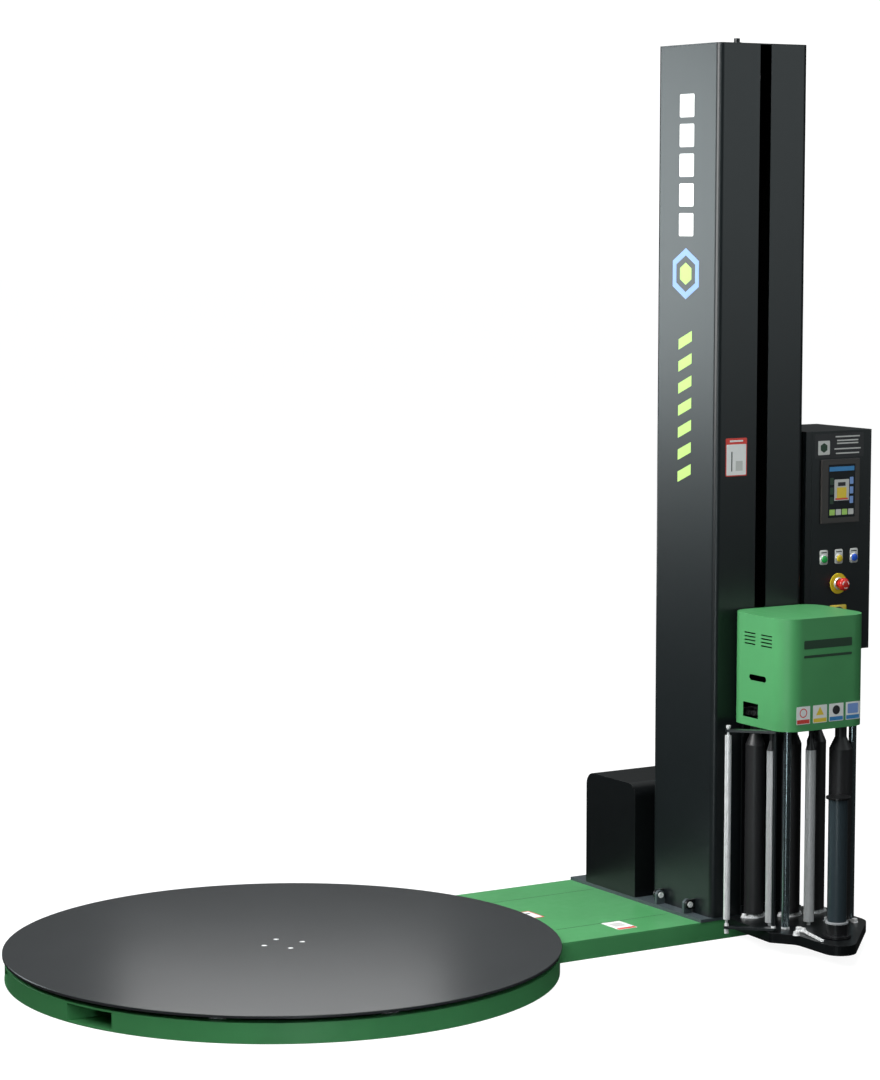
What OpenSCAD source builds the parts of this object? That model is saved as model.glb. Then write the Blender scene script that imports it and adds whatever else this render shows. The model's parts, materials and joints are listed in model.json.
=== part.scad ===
// Turntable pallet wrapper: a low turntable, a mast with a film carriage, and a control cabinet.
// Millimetres. The origin is on the floor under the middle of the turntable.
// +X runs from the turntable to the mast, -Y is the side of the film carriage, +Z is up.

/* [Turntable] */
// Diameter of the turntable disc
table_d = 1650; // [1640:5:1660]
// Height of the disc's top face above the floor
table_top = 80; // [79:1:84]
// Thickness of the disc
table_t = 8; // [6:1:9]
// Outside diameter of the green ring frame
ring_d = 1638; // [1630:2:1642]
// Height of the ring frame
ring_h = 58; // [56:1:60]
// Diameter of the support wheels
wheel_d = 46; // [40:1:46]

/* [Base] */
// Width of the deck between turntable and mast
deck_w = 720; // [716:2:730]
// Height of the deck
deck_h = 60; // [58:1:62]
// Far end of the deck from the turntable's axis
deck_end = 1660; // [1650:5:1690]
// Thickness of the mast base plate
plate_t = 10; // [8:1:12]
// Clear width of a fork pocket
pocket_w = 160; // [150:5:160]

/* [Mast] */
// Size of the mast along X
mast_w = 335; // [330:1:345]
// Size of the mast along Y
mast_d = 319; // [310:1:319]
// Height of the mast's top above the floor
mast_top = 2738; // [2700:1:2900]
// Radius of the mast's corners
mast_r = 18; // [12:1:20]
// Width of the slot for the carriage
slot_w = 43; // [42:1:46]
// Height of the fold axis above the floor
fold_z = 99; // [97:1:102]

/* [Control cabinet] */
// Width of the cabinet
cabinet_w = 257; // [250:1:270]
// Height of the cabinet
cabinet_h = 691; // [680:1:720]
// Bottom of the cabinet above the floor
cabinet_z = 866; // [800:1:900]

/* [Film carriage] */
// Top face of the carriage base plate
base_top = 70; // [68:1:72]
// Bottom of the carriage cover
cover_z = 685; // [684:1:690]
// Height of the carriage cover
cover_h = 340; // [330:1:350]
// Corner radius of the carriage cover
cover_r = 64; // [50:1:70]
// Height where the straight part of the rollers ends
roller_top = 610; // [600:1:614]
// Diameter of the rubber rollers
rubber_d = 60; // [56:1:62]
// Diameter of the film mandrel
mandrel_d = 57; // [50:1:60]
// Top of the film mandrel above the floor
mandrel_top = 498; // [450:1:520]

/* [Hidden] */
$fn = 64;
eps = 0.5;
fit = 0.05;
table_r = table_d / 2;
table_z = table_top - table_t;
ring_r = ring_d / 2;
wall = 4;
flange_w = 33;
floor_t = 4;
ring_cut_x = 690;

hub_r = 75;
bearing_r = 55;
post_r = 40;
screw_pcd = 120;
screw_turn = -7.7;

chain_pitch = 19.05;
big_teeth = 48;
small_teeth = 13;
tooth_h = 4;
sprocket_z = 30;
sprocket_t = 10;
drive_pos = [1430, 133];

wheel_track_r = 765;
wheel_w = 16;
axle_r = 6;
wheel_gap = 0.3;
wheel_z = table_z - wheel_d / 2 - wheel_gap;
wheel_angles = [132, 96, 48, -48, -96, -132];

channel_y0 = 205;
channel_wall = 3;
channel_top = 54;

mast_plate_x = 1262;
mast_plate_y = [-362, 358];
mast_x = 1301;
mast_y = -364;
mast_z = deck_h + plate_t;
mast_wall = 3;
mast_mid_x = mast_x + mast_w / 2;
slot_x = mast_x + 173 - slot_w / 2;
slot_mid = slot_x + slot_w / 2;
fold_x = 1281;
lug_t = 10;
base_lug_y = [-121, -267];
mast_lug_t = 8;
mast_lug_y = [-109, -277];
fold_pin_r = 6;

cover_x0 = 1264;
cover_x1 = 1600;
drive_y0 = -4;
drive_y1 = 271;
drive_top = 433;
drive_r = 40;

belt_w = 25;
belt_t = 3;
pulley_r = 40;
pulley_y = -275;
pulley_z0 = 160;
pulley_z1 = 2640;

cab_x = 1650;
cab_x1 = cab_x + cabinet_w;
cab_front = -345;
jamb_w = 22;
jamb_gap = 0.6;
cab_back = -84;
door_t = 14;
door_y = cab_front - door_t;
sheet = 2;
hinge_x = cab_x1 + 5;
hinge_z = [950, 1440];
knuckle_r = 4.5;
knuckle_h = 20;
button_x = [1723, 1782.5, 1842];
button_z = 1157;
button_r = 11;
control_x = 1782;
estop_z = 1078;
switch_z = 978;
hmi = [1708, 1855, 1270, 1468];
screen = [1732, 1838, 1286, 1452];

carriage_back = -374;
base_t = 30;
tray_t = 4;
top_z = 690;
top_t = 8;
gear_module = 3;
gear_a_teeth = 27;
gear_c_teeth = 50;
gear_z = 706;
gear_t = 14;
pair_turn = -22.4;
pair_gap = gear_module * (gear_a_teeth + gear_c_teeth) / 2;
spindle_r = 8;
small_spindle_r = 6;
steel_d = 30;
nip_d = 70;
pos_a = [1425, -412];
pos_c = pos_a + pair_gap * [cos(pair_turn), sin(pair_turn)];
pos_e = [1626, -458];
pos_f = [1601, -607.5];
pos_b = [1398, -530];
pos_d = [1507, -581];
pos_m = [1475, -757];
pos_p = [1358, -598];
pos_q = [1256, -500];
pos_posts = [[1412, -588], [1651, -602]];
post_d = 24;
cover_x = [1346, 1666];
cover_y = [-660, -376];
lever_pos = [1428, -655];
lever_pin_r = 4;
arm_t = 8;
arm_gap = 2;

green = [0.22, 0.47, 0.27];
anthracite = [0.11, 0.14, 0.15];
dark = [0.05, 0.05, 0.055];
steel = [0.62, 0.63, 0.64];
zinc = [0.8, 0.8, 0.8];
grey = [0.34, 0.38, 0.4];

// ---- shared shapes ----

// A box given by its two corners.
module box(low, high) {
    translate(low) cube(high - low);
}

// A box with its four upright edges rounded.
module round_box(x0, x1, y0, y1, z0, z1, r) {
    box([x0 + r, y0, z0], [x1 - r, y1, z1]);
    box([x0, y0 + r, z0], [x1, y1 - r, z1]);
    for (x = [x0 + r, x1 - r], y = [y0 + r, y1 - r])
        translate([x, y, z0]) cylinder(r = r, h = z1 - z0);
}

// An upright ring.
module ring(outer, inner, z0, z1) {
    difference() {
        translate([0, 0, z0]) cylinder(r = outer, h = z1 - z0, $fn = 128);
        translate([0, 0, z0 - eps]) cylinder(r = inner, h = z1 - z0 + 2 * eps, $fn = 128);
    }
}

// A round bar along X, from x0 to x1.
module bar_x(x0, x1, y, z, r) {
    translate([x0, y, z]) rotate([0, 90, 0]) cylinder(r = r, h = x1 - x0);
}

// A round bar along Y, from y0 to y1.
module bar_y(x, y0, y1, z, r) {
    translate([x, y0, z]) rotate([-90, 0, 0]) cylinder(r = r, h = y1 - y0);
}

// A round bar along Z at a plan position.
module bar_z(pos, z0, z1, r) {
    translate([pos[0], pos[1], z0]) cylinder(r = r, h = z1 - z0);
}

// Points of an arc, for outlines.
function arc(centre, r, a0, a1, n = 8) =
    [for (i = [0 : n]) centre + r * [cos(a0 + (a1 - a0) * i / n), sin(a0 + (a1 - a0) * i / n)]];

// A toothed wheel outline with straight-sided teeth.
function tooth_points(teeth, root, tip, wide, narrow) =
    [for (i = [0 : teeth - 1], k = [[-wide, root], [-narrow, tip], [narrow, tip], [wide, root]])
        let (a = 360 / teeth * (i + k[0])) k[1] * [cos(a), sin(a)]];

// A chain sprocket, flat on z0.
module sprocket(teeth, z0, bore) {
    r = chain_pitch / 2 / sin(180 / teeth);
    difference() {
        translate([0, 0, z0]) linear_extrude(sprocket_t)
            polygon(tooth_points(teeth, r - 5, r + tooth_h, 0.42, 0.14));
        translate([0, 0, z0 - eps]) cylinder(r = bore, h = sprocket_t + 2 * eps);
    }
}
function sprocket_tip(teeth) = chain_pitch / 2 / sin(180 / teeth) + tooth_h;

// A closed loop of chain or belt seen from above, grown outwards by more.
module loop_area(c1, r1, c2, r2, more) {
    hull() {
        translate(c1) circle(r = r1 + more, $fn = 96);
        translate(c2) circle(r = r2 + more, $fn = 48);
    }
}

// A spur gear with its middle at a plan position.
module spur_gear(pos, teeth, turn, bore) {
    pitch_r = gear_module * teeth / 2;
    translate([pos[0], pos[1], gear_z]) difference() {
        rotate(turn) linear_extrude(gear_t)
            polygon(tooth_points(teeth, pitch_r - 1.2 * gear_module, pitch_r + 0.85 * gear_module,
                0.33, 0.12));
        translate([0, 0, -eps]) cylinder(r = bore, h = gear_t + 2 * eps);
    }
}

// A hexagon nut or bolt head on an upright axis.
module hex(pos, z0, across, h) {
    translate([pos[0], pos[1], z0]) cylinder(r = across / sqrt(3), h = h, $fn = 6);
}

// ---- base ----

module ring_frame() color(green) {
    difference() {
        union() {
            translate([0, 0, 0]) cylinder(r = ring_r, h = floor_t, $fn = 128);
            ring(ring_r, ring_r - wall, floor_t, ring_h);
            ring(ring_r - wall, ring_r - flange_w, channel_top, ring_h);
        }
        box([ring_cut_x, -deck_w / 2, -eps], [ring_r + eps, deck_w / 2, ring_h + eps]);
        for (side = [-1, 1])
            box([-ring_r - eps, min(side * channel_y0, side * (channel_y0 + pocket_w)), floor_t],
                [0, max(side * channel_y0, side * (channel_y0 + pocket_w)), channel_top]);
    }
}

module deck_frame() color(green) {
    side_t = 6;
    top = deck_h - 4;
    half = deck_w / 2;
    difference() {
        union() {
            box([ring_cut_x, -half, 0], [deck_end, half, floor_t]);
            for (y = [-half, half - side_t])
                box([ring_cut_x, y, floor_t], [deck_end, y + side_t, top]);
            for (x = [1290, 1610, deck_end - side_t])
                box([x, -half + side_t, floor_t], [x + side_t, half - side_t, top]);
        }
        box([1280, -30, 24], [1305, 230, 46]);
    }
}

// One strip of deck plate between two seams.
module deck_plate(y0, y1) color(green) {
    gap = 0.5;
    difference() {
        box([650, y0 + gap, deck_h - 4], [deck_end, y1 - gap, deck_h]);
        bar_z(drive_pos, 0, deck_h + 1, 24);
    }
}
module deck_plate_left() deck_plate(channel_y0, deck_w / 2);
module deck_plate_centre() deck_plate(-channel_y0, channel_y0);
module deck_plate_right() deck_plate(-deck_w / 2, -channel_y0);

// An upside-down channel over each fork pocket, on the far or near side.
module fork_channel(side) color(green) {
    inner = channel_y0;
    outer = channel_y0 + pocket_w;
    intersection() {
        scale([1, side, 1]) union() {
            box([-ring_r, inner - channel_wall, floor_t], [ring_cut_x - 2, inner, channel_top]);
            box([-ring_r, outer, floor_t], [ring_cut_x - 2, outer + channel_wall, channel_top]);
            box([-ring_r, inner, channel_top - channel_wall], [ring_cut_x - 2, outer, channel_top]);
        }
        cylinder(r = ring_r - wall, h = ring_h, $fn = 128);
    }
}
module fork_channel_left() fork_channel(1);
module fork_channel_right() fork_channel(-1);

module centre_post() color(zinc) {
    translate([0, 0, floor_t]) cylinder(r = 90, h = 8);
    translate([0, 0, floor_t + 8]) cylinder(r = post_r, h = 50);
    translate([0, 0, 44]) cylinder(r = bearing_r, h = 18);
}

// Places its children at each support wheel, turned so that +X points outwards.
module at_wheels() {
    for (a = wheel_angles) rotate(a) translate([wheel_track_r, 0, 0]) children();
}

module wheel_brackets() color(zinc) {
    cheek = 4;
    side = wheel_w / 2 + 4;
    at_wheels() difference() {
        union() {
            box([-side - cheek, -22, floor_t], [side + cheek, 22, floor_t + cheek]);
            for (x = [-side - cheek, side])
                box([x, -15, floor_t + cheek], [x + cheek, 15, wheel_z + 12]);
        }
        bar_x(-side - 10, side + 10, 0, wheel_z, axle_r);
    }
}

module wheel_axles() color(steel) {
    at_wheels() {
        bar_x(-16, 16, 0, wheel_z, axle_r);
        for (x = [-19, 16]) bar_x(x, x + 3, 0, wheel_z, axle_r + 3);
    }
}

module support_wheel(i) color([0.9, 0.9, 0.88]) {
    rotate(wheel_angles[i]) translate([wheel_track_r, 0, wheel_z]) rotate([0, 90, 0]) difference() {
        union() {
            translate([0, 0, -wheel_w / 2]) cylinder(r = wheel_d / 2, h = wheel_w);
            translate([0, 0, -wheel_w / 2 - 3]) cylinder(r = 11, h = wheel_w + 6);
        }
        translate([0, 0, -wheel_w]) cylinder(r = axle_r + fit, h = 2 * wheel_w);
    }
}

module drive_gearmotor() color([0.25, 0.28, 0.32]) {
    x = drive_pos[0];
    y = drive_pos[1];
    difference() {
        union() {
            round_box(x - 85, x + 85, y - 75, y + 75, mast_z, mast_z + 110, 12);
            bar_z(drive_pos, mast_z + 110, mast_z + 130, 70);
            bar_z(drive_pos, mast_z + 130, mast_z + 310, 62);
            for (z = [mast_z + 145 : 12 : mast_z + 290]) bar_z(drive_pos, z, z + 3, 68);
            box([x + 40, y - 45, mast_z + 160], [x + 90, y + 45, mast_z + 260]);
        }
        bar_z(drive_pos, mast_z - 1, mast_z + 60, 14 + fit);
    }
}

module drive_chain() color([0.3, 0.3, 0.3]) {
    r1 = sprocket_tip(big_teeth);
    r2 = sprocket_tip(small_teeth);
    z0 = sprocket_z - 3;
    z1 = sprocket_z + sprocket_t + 3;
    difference() {
        translate([0, 0, z0]) linear_extrude(z1 - z0) difference() {
            loop_area([0, 0], r1, drive_pos, r2, 4);
            loop_area([0, 0], r1, drive_pos, r2, -14);
        }
        translate([0, 0, sprocket_z - 0.5]) linear_extrude(sprocket_t + 1)
            loop_area([0, 0], r1, drive_pos, r2, 0.4);
    }
}

// The outline of the motor cover, drawn in by the sheet's thickness, as a bar along X.
module cover_bar(x0, x1, inset) {
    r = drive_r - inset;
    y0 = drive_y0 + inset;
    y1 = drive_y1 - inset;
    top = drive_top - inset;
    box([x0, y0, mast_z - (inset > 0 ? 1 : 0)], [x1, y1, top - r]);
    box([x0, y0 + r, mast_z - (inset > 0 ? 1 : 0)], [x1, y1 - r, top]);
    for (y = [y0 + r, y1 - r]) bar_x(x0, x1, y, top - r, r);
}
module drive_cover() color(dark) {
    difference() {
        cover_bar(cover_x0, cover_x1, 0);
        cover_bar(cover_x0 + sheet, cover_x1 - sheet, sheet);
    }
}

module mast_base_plate() color(grey) {
    difference() {
        box([mast_plate_x, mast_plate_y[0], deck_h], [deck_end - 10, mast_plate_y[1], mast_z]);
        bar_z(drive_pos, 0, mast_z + 1, 22);
        for (x = [1345, 1590], y = [-310, -100]) bar_z([x, y], 0, mast_z + 1, 7);
    }
}

// A lug with a round top, standing across Y, with a hole for the fold pin.
module lug(y0, t, x_back, hole) {
    difference() {
        union() {
            box([fold_x - 15, y0, mast_z], [x_back, y0 + t, fold_z]);
            bar_y(fold_x, y0, y0 + t, fold_z, 15);
        }
        bar_y(fold_x, y0 - 1, y0 + t + 1, fold_z, hole);
    }
}
module fold_lugs() color(grey) {
    for (y = base_lug_y) lug(y, lug_t, fold_x + 15, fold_pin_r);
}

module fold_pins() color(zinc) {
    for (i = [0, 1]) {
        y0 = min(base_lug_y[i], mast_lug_y[i]);
        y1 = max(base_lug_y[i] + lug_t, mast_lug_y[i] + mast_lug_t);
        bar_y(fold_x, y0 - 1, y1 + 1, fold_z, fold_pin_r);
        for (y = [y0 - 4, y1 + 1]) bar_y(fold_x, y, y + 3, fold_z, fold_pin_r + 3);
    }
}

// ---- turntable ----

// Places its children at the four disc screws.
module at_screws() {
    for (i = [0 : 3]) rotate(screw_turn + 90 * i) translate([screw_pcd / 2, 0, 0]) children();
}

module turntable_disc() color(anthracite) {
    difference() {
        union() {
            translate([0, 0, table_z]) cylinder(r = table_r, h = table_t - 1, $fn = 160);
            translate([0, 0, table_top - 1])
                cylinder(r1 = table_r, r2 = table_r - 1, h = 1, $fn = 160);
        }
        at_screws() {
            translate([0, 0, table_z - 1]) cylinder(r = 5, h = table_t + 2);
            translate([0, 0, table_top - 4]) cylinder(r1 = 5, r2 = 9, h = 4.001);
        }
    }
}

module turntable_hub() color(steel) {
    difference() {
        union() {
            translate([0, 0, 24]) cylinder(r = hub_r, h = table_z - 24);
            sprocket(big_teeth, sprocket_z, hub_r - 5);
        }
        translate([0, 0, 20]) cylinder(r = bearing_r + fit, h = table_z - 28);
        at_screws() translate([0, 0, table_z - 20]) cylinder(r = 5, h = 21);
    }
}

module turntable_screws() color(zinc) {
    at_screws() {
        translate([0, 0, table_z - 18]) cylinder(r = 5, h = table_t + 14);
        translate([0, 0, table_top - 4]) difference() {
            cylinder(r1 = 5, r2 = 8.4, h = 3.4);
            translate([0, 0, 1.4]) cylinder(r = 3, h = 3, $fn = 6);
        }
    }
}

module drive_sprocket() color(steel) {
    translate([drive_pos[0], drive_pos[1], 0]) {
        sprocket(small_teeth, sprocket_z, 13.9);
        translate([0, 0, sprocket_z - 8]) cylinder(r = 14, h = mast_z + 50 - sprocket_z);
        translate([0, 0, sprocket_z + sprocket_t + 4]) cylinder(r = 20, h = 8);
    }
}

// ---- mast ----

module mast_shell() color(anthracite) {
    x1 = mast_x + mast_w;
    y1 = mast_y + mast_d;
    top = mast_top - 3;
    difference() {
        round_box(mast_x, x1, mast_y, y1, mast_z, top, mast_r);
        round_box(mast_x + mast_wall, x1 - mast_wall, mast_y + mast_wall, y1 - mast_wall,
            mast_z - 1, top + 1, mast_r - mast_wall);
        box([slot_x, mast_y - 1, mast_z - 1], [slot_x + slot_w, mast_y + mast_wall + 1, top + 1]);
    }
}

module mast_cap() color(anthracite) {
    cheek = 6;
    difference() {
        union() {
            round_box(mast_x, mast_x + mast_w, mast_y, mast_y + mast_d,
                mast_top - 3, mast_top, mast_r);
            bar_z([mast_mid_x - 60, mast_y + 60], mast_top, mast_top + 4, 14);
            bar_z([mast_mid_x - 60, mast_y + 60], mast_top + 4, mast_top + 16, 9);
            for (x = [slot_mid - 28, slot_mid + 22])
                box([x, pulley_y - 25, pulley_z1 - 25], [x + cheek, pulley_y + 25, mast_top - 3]);
            bar_x(slot_mid - 34, slot_mid + 34, pulley_y, pulley_z1, 8);
        }
        box([slot_x, mast_y - 1, mast_top - 4], [slot_x + slot_w, mast_y + mast_wall, mast_top + 1]);
    }
}

module mast_fold_lugs() color(dark) {
    for (y = mast_lug_y) difference() {
        union() {
            box([fold_x, y, fold_z - 15], [mast_x, y + mast_lug_t, fold_z + 15]);
            bar_y(fold_x, y, y + mast_lug_t, fold_z, 15);
        }
        bar_y(fold_x, y - 1, y + mast_lug_t + 1, fold_z, fold_pin_r + fit);
    }
}

module guide_rails() color(steel) {
    for (x = [slot_mid - 84, slot_mid + 76])
        box([x, mast_y + mast_wall, mast_z + 20], [x + 8, mast_y + 50, mast_top - 60]);
    for (x = [slot_mid - 76, slot_mid + 64])
        box([x, mast_y + mast_wall, mast_z + 20], [x + 12, mast_y + mast_wall + 5, mast_top - 60]);
}

module lift_gearmotor() color([0.25, 0.28, 0.32]) {
    gx = slot_mid + 26;
    difference() {
        union() {
            box([gx, pulley_y - 25, pulley_z0 - 50], [gx + 75, pulley_y + 65, pulley_z0 + 55]);
            bar_z([gx + 50, pulley_y + 20], pulley_z0 + 55, pulley_z0 + 230, 48);
            for (z = [pulley_z0 + 70 : 14 : pulley_z0 + 210])
                bar_z([gx + 50, pulley_y + 20], z, z + 3, 53);
            box([gx + 75, pulley_y - 10, pulley_z0 - 40],
                [mast_x + mast_w - mast_wall, pulley_y + 50, pulley_z0 + 40]);
        }
        bar_x(gx - 1, gx + 60, pulley_y, pulley_z0, 10 + fit);
    }
}

module lift_belt() color(dark) {
    gap = 0.3;
    translate([slot_mid - belt_w / 2, 0, 0]) rotate([90, 0, 90]) linear_extrude(belt_w) difference() {
        loop_area([pulley_y, pulley_z1], pulley_r, [pulley_y, pulley_z0], pulley_r, belt_t + gap);
        loop_area([pulley_y, pulley_z1], pulley_r, [pulley_y, pulley_z0], pulley_r, gap);
    }
}

// A flanged belt pulley; the flanges stand outside the belt.
module pulley(z) {
    bar_x(slot_mid - belt_w / 2 - 0.5, slot_mid + belt_w / 2 + 0.5, pulley_y, z, pulley_r);
    for (x = [slot_mid - belt_w / 2 - 3.5, slot_mid + belt_w / 2 + 0.5])
        bar_x(x, x + 3, pulley_y, z, pulley_r + 2);
}
module lift_drive_pulley() color(steel) {
    pulley(pulley_z0);
    bar_x(slot_mid, slot_mid + 80, pulley_y, pulley_z0, 10);
}
module lift_top_pulley() color(steel) {
    difference() {
        pulley(pulley_z1);
        bar_x(slot_mid - 40, slot_mid + 40, pulley_y, pulley_z1, 8 + fit);
    }
}

// ---- control cabinet ----

module control_cabinet() color(anthracite) {
    z1 = cabinet_z + cabinet_h;
    difference() {
        box([cab_x, cab_front, cabinet_z], [cab_x1, cab_back, z1]);
        box([cab_x + sheet, cab_front - 1, cabinet_z + sheet],
            [cab_x1 - sheet, cab_back - sheet, z1 - sheet]);
    }
    box([cab_x, door_y, cabinet_z], [cab_x + jamb_w, cab_front, z1]);
    for (z = [cabinet_z + 80, z1 - 130])
        box([mast_x + mast_w, -330, z], [cab_x, -110, z + 50]);
    box([cab_x + 20, cab_back - 12, cabinet_z + 40], [cab_x1 - 20, cab_back - sheet, z1 - 40]);
    for (z = hinge_z) difference() {
        union() {
            bar_z([hinge_x, cab_front], z, z + knuckle_h, knuckle_r);
            box([cab_x1, cab_front, z], [hinge_x, cab_front + knuckle_r, z + knuckle_h]);
        }
        bar_z([hinge_x, cab_front], z + 4, z + knuckle_h + 1, 3 + fit);
    }
}

// Holes through the door's sheet for the things that move in and out.
module door_holes() {
    for (x = button_x) bar_y(x, door_y - 1, cab_front + 1, button_z, button_r + fit);
    bar_y(control_x, door_y - 1, cab_front + 1, estop_z, button_r + fit);
    bar_y(control_x, door_y - 1, cab_front + 1, switch_z, 6 + fit);
}

module cabinet_door() color(anthracite) {
    x0 = cab_x + jamb_w + jamb_gap;
    z0 = cabinet_z;
    z1 = cabinet_z + cabinet_h;
    difference() {
        box([x0, door_y, z0], [cab_x1, cab_front, z1]);
        box([x0 + sheet, door_y + sheet, z0 + sheet], [cab_x1 - sheet, cab_front + 1, z1 - sheet]);
        door_holes();
    }
    for (z = hinge_z) {
        bar_z([hinge_x, cab_front], z + knuckle_h + 0.5, z + 2 * knuckle_h, knuckle_r);
        box([cab_x1, cab_front - knuckle_r, z + knuckle_h + 0.5],
            [hinge_x, cab_front, z + 2 * knuckle_h]);
        bar_z([hinge_x, cab_front], z + 5, z + knuckle_h + 1, 3);
    }
}

module touch_panel() color([0.16, 0.15, 0.15]) {
    deep = 8;
    difference() {
        box([hmi[0], door_y - deep, hmi[2]], [hmi[1], door_y, hmi[3]]);
        box([screen[0], door_y - deep - 1, screen[2]], [screen[1], door_y - deep + 1, screen[3]]);
    }
}

module button_collars() color([0.75, 0.75, 0.76]) {
    for (x = button_x) difference() {
        union() {
            bar_y(x, door_y - 2, door_y, button_z, 15.5);
            box([x - 15.5, door_y - 2, button_z], [x + 15.5, door_y, button_z + 29]);
            bar_y(x, door_y - 7, door_y - 2, button_z, 14.5);
        }
        bar_y(x, door_y - 8, door_y + 1, button_z, button_r + fit);
    }
    difference() {
        bar_y(control_x, door_y - 2, door_y, estop_z, 32.5);
        bar_y(control_x, door_y - 3, door_y + 1, estop_z, button_r + fit);
    }
    difference() {
        box([control_x - 32.5, door_y - 4, switch_z - 32.5], [control_x + 32.5, door_y, switch_z + 32.5]);
        bar_y(control_x, door_y - 5, door_y + 1, switch_z, 6 + fit);
    }
}

// A push button that stands out of its collar and runs through the door.
module push_button(x) {
    bar_y(x, door_y - 12, cab_front + 6, button_z, button_r);
}
module start_button() color([0.1, 0.6, 0.2]) push_button(button_x[0]);
module reset_button() color([0.95, 0.8, 0.1]) push_button(button_x[1]);
module home_button() color([0.1, 0.25, 0.7]) push_button(button_x[2]);

module emergency_stop() color([0.8, 0.08, 0.06]) {
    bar_y(control_x, door_y - 28, cab_front + 6, estop_z, button_r);
    bar_y(control_x, door_y - 36, door_y - 22, estop_z, 20);
    translate([control_x, door_y - 36, estop_z]) rotate([90, 0, 0]) cylinder(r1 = 20, r2 = 15, h = 3);
}

module main_switch() color([0.8, 0.08, 0.06]) {
    bar_y(control_x, door_y - 12, cab_front + 6, switch_z, 6);
    bar_y(control_x, door_y - 12, door_y - 4.3, switch_z, 21);
    box([control_x - 5, door_y - 22, switch_z - 21], [control_x + 5, door_y - 12, switch_z + 21]);
}

// ---- film carriage ----

module carriage_bracket() color(dark) {
    half = 70;
    front = carriage_back;
    neck = slot_w / 2 - 3.5;
    gear_space = gear_module * (gear_a_teeth / 2 + 1) + 3;
    difference() {
        box([slot_mid - half, front, base_top - base_t + 4], [slot_mid + half, front + 5, 1000]);
        bar_z(pos_a, gear_z - 4, gear_z + gear_t + 4, gear_space);
    }
    box([slot_mid - neck, front + 5, 120], [slot_mid + neck, -336, 960]);
    box([slot_mid - half, -336, 120], [slot_mid + half, -330, 960]);
    for (x = [slot_mid - half - 5.7, slot_mid + half - 0.3], z = [130, 850])
        box([x, -345, z], [x + 6, -322, z + 100]);
    box([slot_mid - 16, -330, 500], [slot_mid + 16, pulley_y - pulley_r - belt_t - 0.6, 560]);
    box([slot_mid - half, front - 6, top_z - 60], [slot_mid + half, front, top_z]);
    box([slot_mid - half, front - 6, 76], [slot_mid + half, front, 100]);
}

// The outline of the carriage base, drawn in by t all round.
function base_outline(t) = concat(
    [[1352 + t, carriage_back - t]],
    arc([1352, -606], 16 - t, 180, 230),
    arc([1333, -697], 55 + t, 36, 0, 6),
    arc([1440, -812], 52 - t, 180, 315, 14),
    arc([1617, -595.5], 80 - t, 315, 360),
    [[1697 - t, carriage_back - t]]
);

// Holes in the carriage base: one for each upright part.
module base_holes() {
    low = base_top - base_t - 1;
    for (p = [pos_a, pos_c, pos_e, pos_f]) bar_z(p, low, base_top + 1, spindle_r + fit);
    for (p = [pos_b, pos_d]) bar_z(p, low, base_top + 1, small_spindle_r + fit);
    bar_z(pos_m, low, base_top + 1, 15 + fit);
    bar_z(pos_p, low, base_top + 1, small_spindle_r + fit);
    bar_z(lever_pos, low, base_top + 1, lever_pin_r);
    for (p = pos_posts) bar_z(p, low, base_top + 1, 6);
}

module carriage_base() color(dark) {
    difference() {
        union() {
            translate([0, 0, base_top - base_t]) linear_extrude(base_t) difference() {
                polygon(base_outline(0));
                polygon(base_outline(3));
            }
            translate([0, 0, base_top - tray_t]) linear_extrude(tray_t) polygon(base_outline(1));
            for (p = [pos_a, pos_c, pos_e, pos_f, pos_m]) bar_z(p, base_top - 20, base_top, 24);
            for (p = [pos_a, pos_c, pos_e, pos_f]) bar_z(p, base_top, base_top + 8, 22);
        }
        base_holes();
        for (p = [pos_a, pos_c, pos_e, pos_f]) bar_z(p, base_top - 1, base_top + 10, spindle_r + fit);
    }
}

module carriage_top_plate() color(dark) {
    gap = sheet + 1;
    x0 = cover_x[0] + gap;
    x1 = cover_x[1] - gap;
    y0 = cover_y[0] + gap;
    y1 = cover_y[1] - gap;
    difference() {
        union() {
            round_box(x0, x1, y0, y1, top_z, top_z + top_t, cover_r - gap);
            box([slot_mid - 70, y1 - 1, top_z], [slot_mid + 70, carriage_back, top_z + top_t]);
        }
        for (p = [pos_a, pos_c, pos_e, pos_f])
            bar_z(p, top_z - 1, top_z + top_t + 1, spindle_r + fit);
        for (p = [pos_b, pos_d, pos_p])
            bar_z(p, top_z - 1, top_z + top_t + 1, small_spindle_r + fit);
        for (p = pos_posts) bar_z(p, top_z - 1, top_z + top_t + 1, 6);
        for (x = [x0 + 60, x1 - 60], y = [y0 + 12]) bar_z([x, y], top_z - 1, top_z + top_t + 1, 3);
    }
}

module carriage_cover() color(green) {
    x0 = cover_x[0];
    x1 = cover_x[1];
    y0 = cover_y[0];
    y1 = cover_y[1];
    z1 = cover_z + cover_h;
    louvre = 54;
    back_gap = 84;
    difference() {
        round_box(x0, x1, y0, y1, cover_z, z1, cover_r);
        round_box(x0 + sheet, x1 - sheet, y0 + sheet, y1 - sheet, cover_z - 1, z1 - sheet,
            cover_r - sheet);
        box([slot_mid - back_gap, y1 - sheet - 8, cover_z - 1], [slot_mid + back_gap, y1 + 1, 1010]);
        for (y = [-510, -592], i = [0 : 3])
            box([x0 - 1, y, 933 + 11 * i], [x0 + sheet + 1, y + louvre, 933 + 11 * i + 4]);
        box([x0 - 1, -527, 710], [x0 + sheet + 1, -452, 755]);
        box([x0 - 1, -556, 825], [x0 + sheet + 1, -490, 843]);
        for (y = [-556, -490]) bar_x(x0 - 1, x0 + sheet + 1, y, 834, 9);
    }
}

module carriage_posts() color(anthracite) {
    for (p = pos_posts) {
        bar_z(p, base_top, top_z, post_d / 2);
        bar_z(p, base_top - 12, base_top, 6);
        bar_z(p, top_z, top_z + 20, 6);
    }
}

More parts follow.
